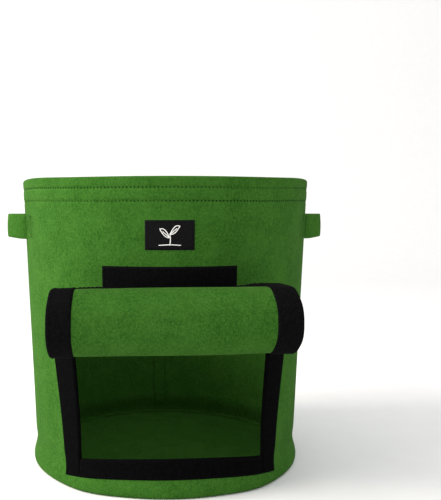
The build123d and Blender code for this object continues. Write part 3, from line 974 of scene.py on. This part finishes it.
def piece_steps(number):
    """The s values of a flap piece: closer at its ends, so that it joins its neighbour smoothly."""
    steps = number - 1 + 0.5 - 0.5 * np.cos(np.linspace(0, pi, 13))
    if number == 1:
        return np.concatenate([[-1, -0.97, -0.92, -0.86], np.linspace(-0.75, 0, 6)[:-1], steps])
    if number == 7:
        return np.concatenate([steps, [7.1, 7.25, 7.38, 7.44, 7.48, 7.5]])
    return steps


ROOT_BEND = (-0.173, 0.1762)  # y and z of the place where the flap's root bends
ROOT_REACH = (-5.9 * MM, 6.2 * MM)  # where that bend starts and ends, along the first strip
BLEND_MARGIN = (1.1 * MM, 2.4 * MM)  # from a strip's end to its bend, and more where it stands up


def flap_blend(piece, number):
    """Works out where a flap piece would bend between its two bodies, clear of the rows it shares
    with others, but only bakes its transform: nothing here bends it.
    """
    corners = [*HINGE, FREE_END]
    if number == 1:
        along = (corners[1] - corners[0]) / np.linalg.norm(corners[1] - corners[0])
        start, end = (np.array(ROOT_BEND) + along * reach for reach in ROOT_REACH)
    else:
        start = (corners[number - 2] + corners[number - 1]) / 2
        end = (corners[number - 1] + corners[number]) / 2
        along = (end - start) / np.linalg.norm(end - start)
        shift = max(TUBE_SET_BACK) * along[0]
        edge = BLEND_MARGIN[0] + BLEND_MARGIN[1] * abs(along[1])
        start, end = start + along * (edge + max(shift, 0)), end - along * (edge + max(-shift, 0))
    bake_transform(piece)


def build_flap_felt(number):
    """One of the felt sheet's seven pieces, which meet on shared rows."""
    s = piece_steps(number)
    x = spaced(2 * FLAP_HALF, 5 * MM, EDGE_ROUND) - FLAP_HALF
    across, along = np.meshgrid(x, s)
    centre, normal = flap_at(along, across), flap_normal(along, across)
    near = FLAP_HALF - np.abs(across)
    near = np.minimum(near, (FREE - along) * 25 * MM)
    near = np.minimum(near, (along + 1) * 9 * MM)
    half = FELT / 2 * felt_edge(near)[..., None]
    felt_piece = make_piece(f"flap_felt_{number}",
                            *sheet_parts(centre + normal * half, centre - normal * half),
                            [FELT_FLAP_SHADED])
    nodes = [f"flap_strip_{number}"] + (["flap_sewn_edge"] if number == 1 else [])
    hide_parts(*nodes)
    flap_blend(felt_piece, number)


def tape_on_flap(s, low, high, edges):
    """A tape on the flap between two x values; edges says which of its ends along s are cut."""
    middle = np.linspace(low + 1.2 * MM, high - 1.2 * MM, 12 if high - low < 0.05 else 90)
    x = np.concatenate([[low, low + 0.5 * MM], middle, [high - 0.5 * MM, high]])
    across, along = np.meshgrid(x, s)
    near = np.minimum(across - low, high - across)
    far = np.full_like(near, 1.0)
    if edges[0]:
        far = np.minimum(far, (along - s[0]) * 20 * MM)
    if edges[1]:
        far = np.minimum(far, (s[-1] - along) * 25 * MM)
    rise = pile_rise(across.shape, near, far)
    for row, cut in ((0, edges[0]), (-1, edges[1])):
        if not cut:
            rise[row] = pile_rise(across[0].shape, near[0], far[0] + 1, even=True)
    centre, normal = flap_at(along, across), flap_normal(along, across)
    over = centre + normal * (FELT / 2 + rise)[..., None]
    under = centre + normal * (FELT / 2 - 0.15 * MM)
    return sheet_parts(over, under)


def seam_on_flap(s_values, x_values):
    """Stitches along a line on a flap tape."""
    s = np.linspace(s_values[0], s_values[1], 60)
    x = np.linspace(x_values[0], x_values[1], 60)
    normal = flap_normal(s, x)
    line = flap_at(s, x) + normal * (FELT / 2 + TAPE)
    return stitch_parts(line, normal)


def add_flap_tapes(name, node, number, tapes, seams):
    """Tapes on one piece of the flap and their stitches, as one piece."""
    points, faces, starts = joined(tapes + seams)
    piece = make_piece(name, points, faces, [TAPE_BLACK, THREAD_BLACK],
                       range(starts[len(tapes)], len(faces)))
    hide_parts(node)
    flap_blend(piece, number)


def build_flap_side_tapes(number):
    """The two side tapes on one piece of the flap."""
    s = piece_steps(number)
    s = s[s >= 0.12]
    tapes, seams = [], []
    for side in (-1, 1):
        low, high = sorted((side * (FLAP_HALF - FLAP_SIDE_TAPE), side * FLAP_HALF))
        tapes.append(tape_on_flap(s, low, high, (number == 1, number == 7)))
        for x in (low + FLAP_SEAM_INSET, high - FLAP_SEAM_INSET):
            seams.append(seam_on_flap((s[0], min(s[-1], 7.4)), (x, x)))
    add_flap_tapes(f"flap_tapes_{number}", f"flap_side_tapes_{number}", number, tapes, seams)


def build_flap_bottom_tape():
    """The tape along the flap's free end, between the side tapes."""
    reach = FLAP_HALF - FLAP_SIDE_TAPE
    s = np.concatenate([[6.42, 6.45], np.linspace(6.5, 7.4, 16), [7.46, 7.49]])
    tape = tape_on_flap(s, -reach, reach, (True, True))
    seams = [seam_on_flap((v, v), (-reach + 2 * MM, reach - 2 * MM)) for v in (6.55, 7.4)]
    add_flap_tapes("flap_bottom_tape_pile", "flap_bottom_tape", 7, [tape], seams)


def build_flap():
    """The flap's seven pieces, its tapes and the stitches that hold it on the wall."""
    for number in range(1, 8):
        build_flap_felt(number)
        build_flap_side_tapes(number)
    build_flap_bottom_tape()
    azimuth = np.linspace(-SEAM_HALF * 0.975, SEAM_HALF * 0.975, 30)
    add_stitches("flap_seam_stitch", [(azimuth, 0 * azimuth + SEAM_LEAVES + 2 * MM)],
                 FELT - 0.1 * MM, "green", holes=True)


# ---- stage and light ----
def build_stage():
    """A pale floor that runs up into a backdrop far behind the bag."""
    reach, bend = 3.2, 1.2
    profile = [(-reach, 0.0), (0.0, 0.0), (reach - bend, 0.0)]
    profile += [(reach - bend + bend * sin(t), bend - bend * cos(t))
                for t in np.linspace(0, pi / 2, 9)[1:]]
    profile.append((reach, 2.6))
    across = np.linspace(-3.5, 3.5, 8)
    points = [(x, y, z) for y, z in profile for x in across]
    wide = len(across)
    faces = []
    for i in range(len(profile) - 1):
        for j in range(wide - 1):
            a = i * wide + j
            faces.append((a, a + 1, a + wide + 1, a + wide))
    floor = make_piece("floor", points, faces, [floor_paint("floor_paint")])


ROOM_STRENGTH = 1.08
KEY_PLACE = (-2.04, -0.47, 1.5)
KEY_AIM = (0, 0, 0.17)
KEY_SIZE = (1.5, 1.5)
KEY_WATTS = 95
KEY_TONE = (1.0, 0.94, 0.87)


def build_key_light():
    """One large soft light, to the left of the camera."""
    data = bpy.data.lights.new("key", "AREA")
    data.shape = "RECTANGLE"
    data.size, data.size_y = KEY_SIZE
    data.energy = KEY_WATTS
    data.color = KEY_TONE
    lamp = bpy.data.objects.new("key", data)
    lamp.location = KEY_PLACE
    aim = np.array(KEY_AIM) - np.array(KEY_PLACE)
    lamp.rotation_euler = (atan2(hypot(aim[0], aim[1]), -aim[2]), 0, atan2(-aim[0], aim[1]))
    bpy.context.scene.collection.objects.link(lamp)


def build_room():
    """A white room that lights the bag evenly from all round."""
    world = bpy.data.worlds.new("white_room")
    world.use_nodes = True
    room = world.node_tree.nodes["Background"]
    room.inputs["Color"].default_value = (1.0, 1.0, 1.0, 1.0)
    room.inputs["Strength"].default_value = ROOM_STRENGTH
    bpy.context.scene.world = world
    bpy.context.scene.view_settings.view_transform = "Standard"


make_camera()
build_wall()
build_lap()
build_base()
build_window_frame()
build_keeper()
build_label()
build_wall_stitches()
for handle_side in (1, -1):
    build_handle(handle_side)
build_flap()
build_stage()
build_room()
build_key_light()
